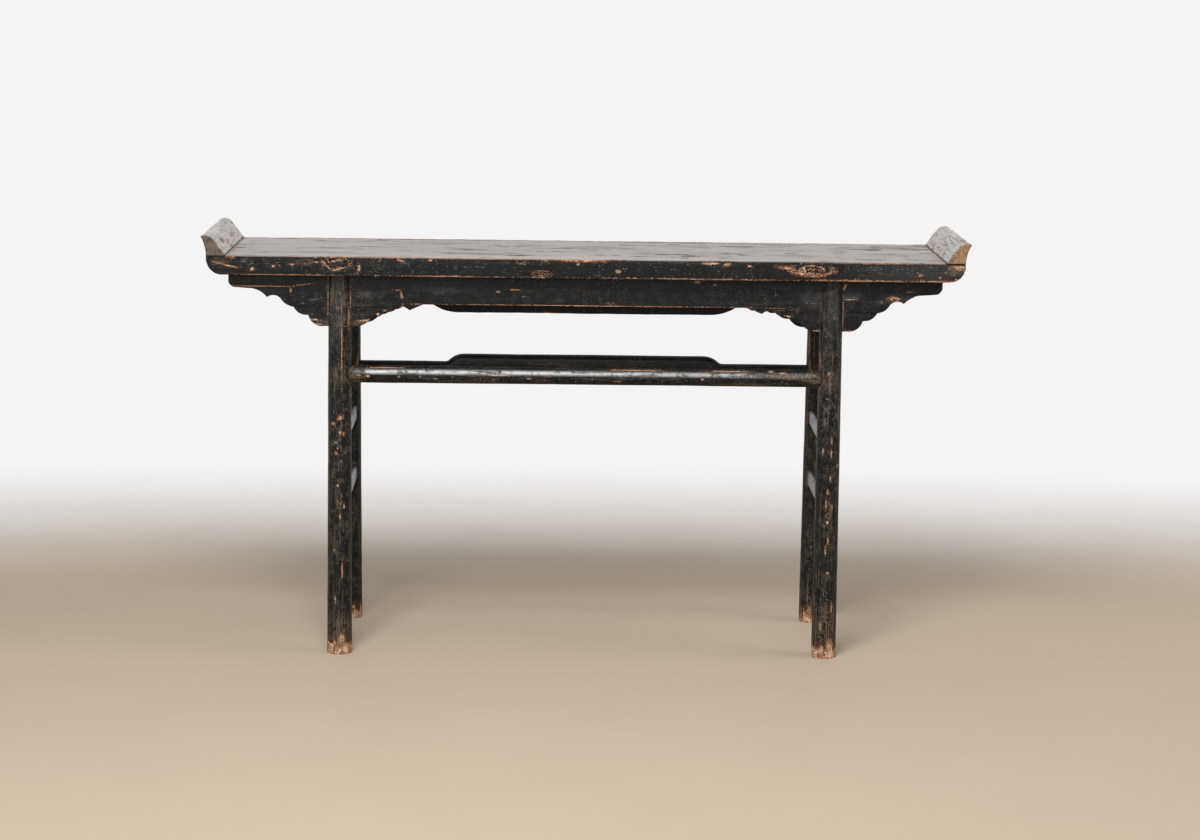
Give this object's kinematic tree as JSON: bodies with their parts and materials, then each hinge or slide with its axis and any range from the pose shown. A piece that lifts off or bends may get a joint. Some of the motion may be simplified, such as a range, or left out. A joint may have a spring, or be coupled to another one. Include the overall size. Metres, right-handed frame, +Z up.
{
  "type": "altar table",
  "caption": "Long narrow altar table in worn black lacquer: a thick plank top with everted end flanges on round splayed legs, with carved aprons and stretchers.",
  "frame": {"origin": "on the floor, below the middle of the table", "axes": "+X along the plank, to the right as seen from the front; -Y towards the front; +Z up"},
  "size_m": [1.623, 0.387, 0.9005],
  "materials": {
    "plank_lacquer": "black lacquer worn to a satin sheen, bare elm showing in patches and along the edges",
    "flange_lacquer": "worn black lacquer with brown end grain at the front",
    "frame_lacquer": "satin black lacquer, chipped and rubbed brown at the joints, edges and feet",
    "bare_elm": "dusty unfinished elm"
  },
  "bodies": {
    "root": {"top_plank": "plank_lacquer", "left_flange": "flange_lacquer", "right_flange": "flange_lacquer", "left_batten": "bare_elm", "right_batten": "bare_elm", "front_left_leg": "frame_lacquer", "front_right_leg": "frame_lacquer", "back_left_leg": "frame_lacquer", "back_right_leg": "frame_lacquer", "front_apron": "frame_lacquer", "back_apron": "frame_lacquer", "front_left_spandrel": "frame_lacquer", "front_right_spandrel": "frame_lacquer", "back_left_spandrel": "frame_lacquer", "back_right_spandrel": "frame_lacquer", "front_stretcher": "frame_lacquer", "back_stretcher": "frame_lacquer", "left_upper_side_stretcher": "frame_lacquer", "left_lower_side_stretcher": "frame_lacquer", "right_upper_side_stretcher": "frame_lacquer", "right_lower_side_stretcher": "frame_lacquer"}
  },
  "joints": []
}
